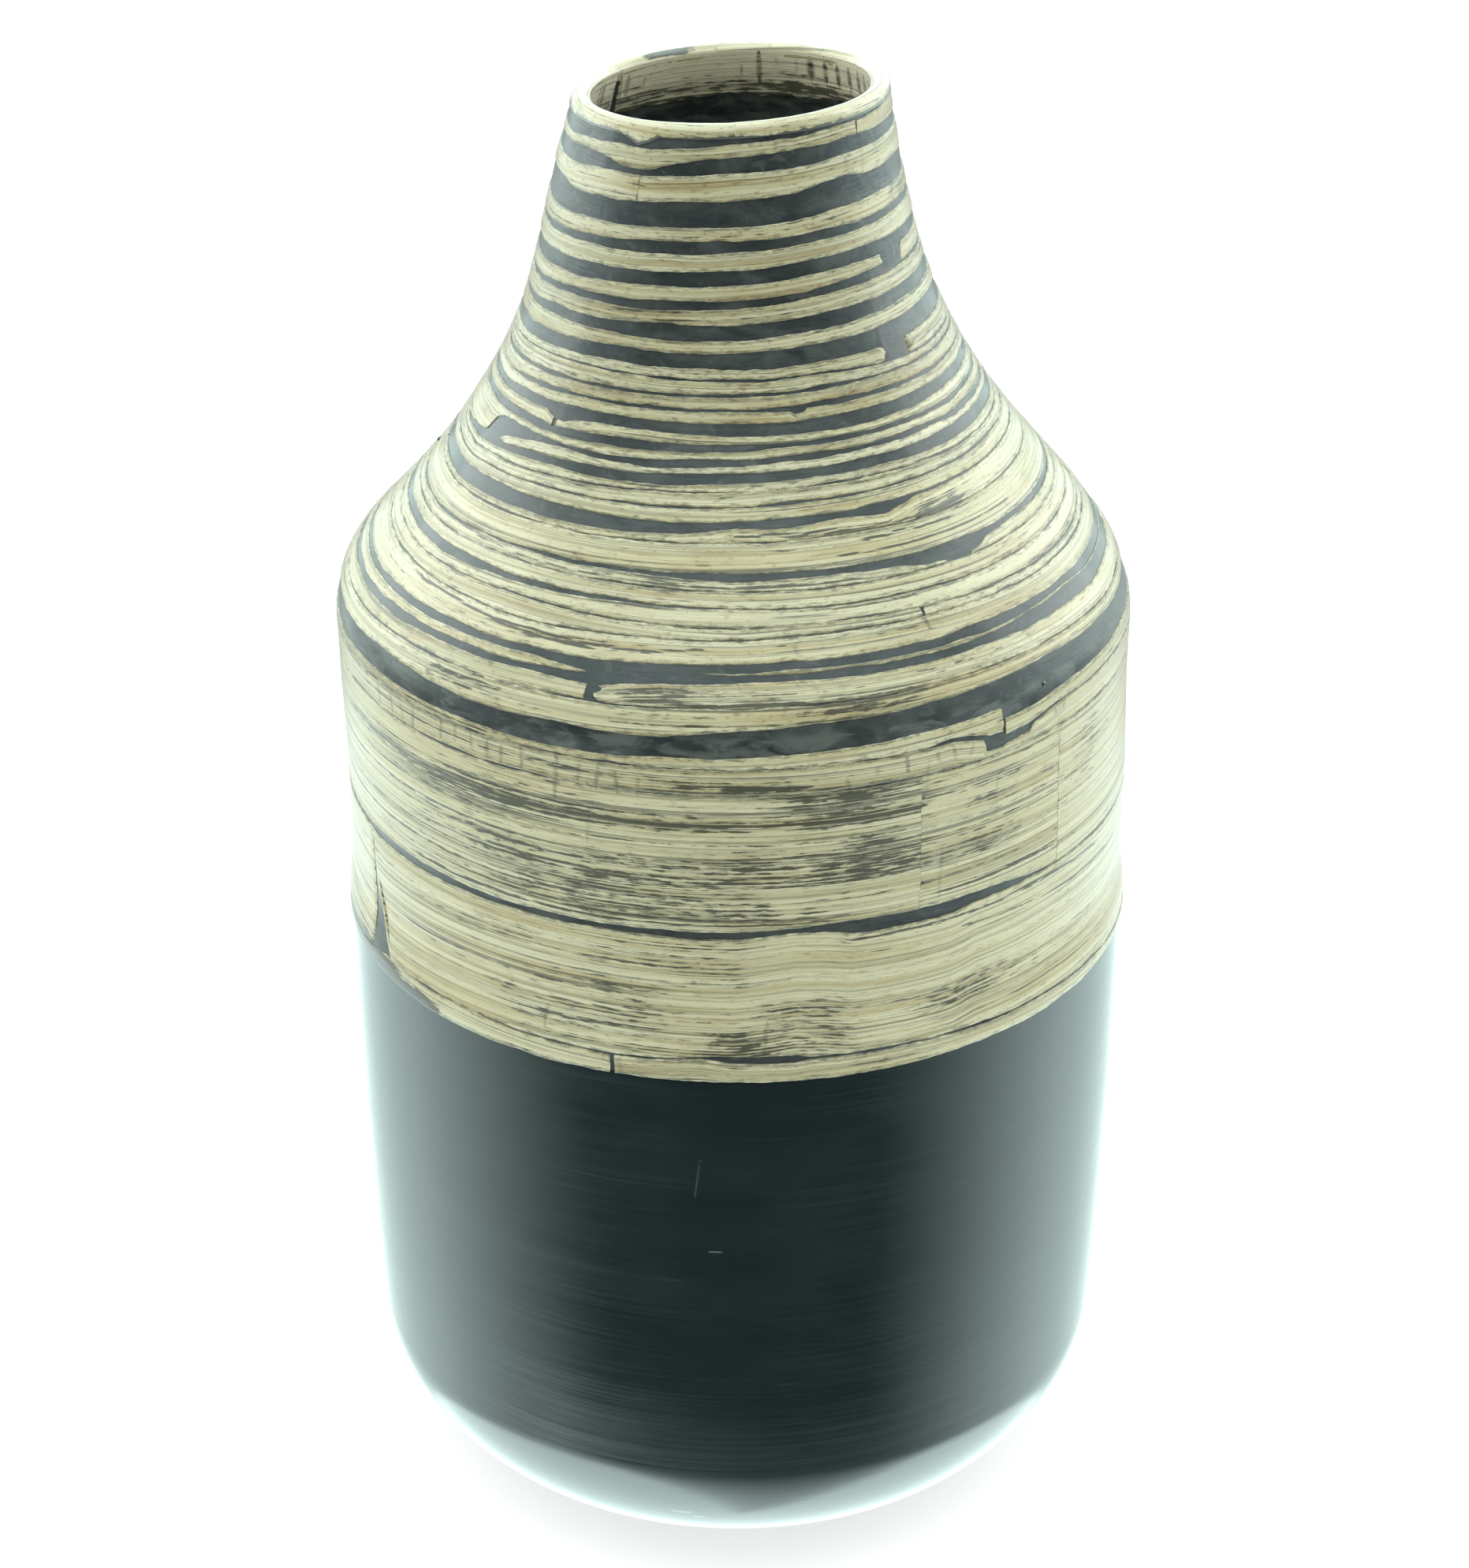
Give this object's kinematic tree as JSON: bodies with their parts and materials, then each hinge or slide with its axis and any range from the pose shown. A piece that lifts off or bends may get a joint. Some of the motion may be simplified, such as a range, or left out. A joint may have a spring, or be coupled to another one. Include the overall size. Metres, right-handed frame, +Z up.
{
  "type": "wound bamboo vase",
  "caption": "Tall bottle-shaped vase of wound bamboo: smooth black lacquered body, pale bamboo strips wound round shoulder and neck over a dark lacquer ground.",
  "frame": {"origin": "middle of the flat underside, on the surface that the vase stands on", "axes": "+Z up along the axis of the vase, towards the mouth; -Y is the side the picture shows, with the broken strip ends; +X to the right seen from there"},
  "size_m": [0.2184, 0.2184, 0.402],
  "materials": {
    "black_lacquer": "black satin lacquer over wound bamboo, fine level brush lines, slightly mottled",
    "dark_ground": "dark grey lacquer ground, glossy clear coat, worn and mottled",
    "bamboo_strip": "pale sanded bamboo with long fibre lines and kink marks, clear coated",
    "bamboo_panel": "wide flattened bamboo with dark lacquer left in its fibres, clear coated",
    "bamboo_rim": "pale sanded bamboo lip, rounded and clear coated",
    "base_board": "flat board, stained dark, matt"
  },
  "bodies": {
    "root": {"base_disc": "base_board", "lower_shell": "black_lacquer", "shoulder_shell": "dark_ground", "neck_shell": "dark_ground", "rim_ring": "bamboo_rim", "mouth_lining": "bamboo_rim", "neck_strip_01": "bamboo_strip", "neck_strip_02": "bamboo_strip", "neck_strip_03": "bamboo_strip", "neck_strip_04": "bamboo_strip", "neck_strip_05": "bamboo_strip", "neck_strip_06": "bamboo_strip", "neck_strip_07": "bamboo_strip", "neck_strip_08": "bamboo_strip", "neck_strip_09": "bamboo_strip", "neck_strip_10": "bamboo_strip", "neck_strip_11": "bamboo_strip", "shoulder_strip_01": "bamboo_strip", "shoulder_strip_02": "bamboo_strip", "shoulder_strip_03": "bamboo_strip", "shoulder_strip_04": "bamboo_strip", "shoulder_strip_05": "bamboo_strip", "shoulder_strip_06": "bamboo_strip", "shoulder_strip_07": "bamboo_strip", "shoulder_strip_08": "bamboo_strip", "shoulder_strip_09": "bamboo_strip", "shoulder_strip_10": "bamboo_strip", "shoulder_strip_11": "bamboo_strip", "shoulder_strip_12": "bamboo_strip", "shoulder_strip_13": "bamboo_strip", "shoulder_strip_14": "bamboo_strip", "shoulder_strip_15": "bamboo_strip", "shoulder_strip_16": "bamboo_strip", "belly_strip_01": "bamboo_strip", "belly_strip_02": "bamboo_strip", "belly_strip_03": "bamboo_strip", "belly_panel_01": "bamboo_panel", "belly_panel_02": "bamboo_panel", "belly_panel_03": "bamboo_panel", "belly_panel_04": "bamboo_panel", "belly_panel_05": "bamboo_panel"}
  },
  "joints": []
}
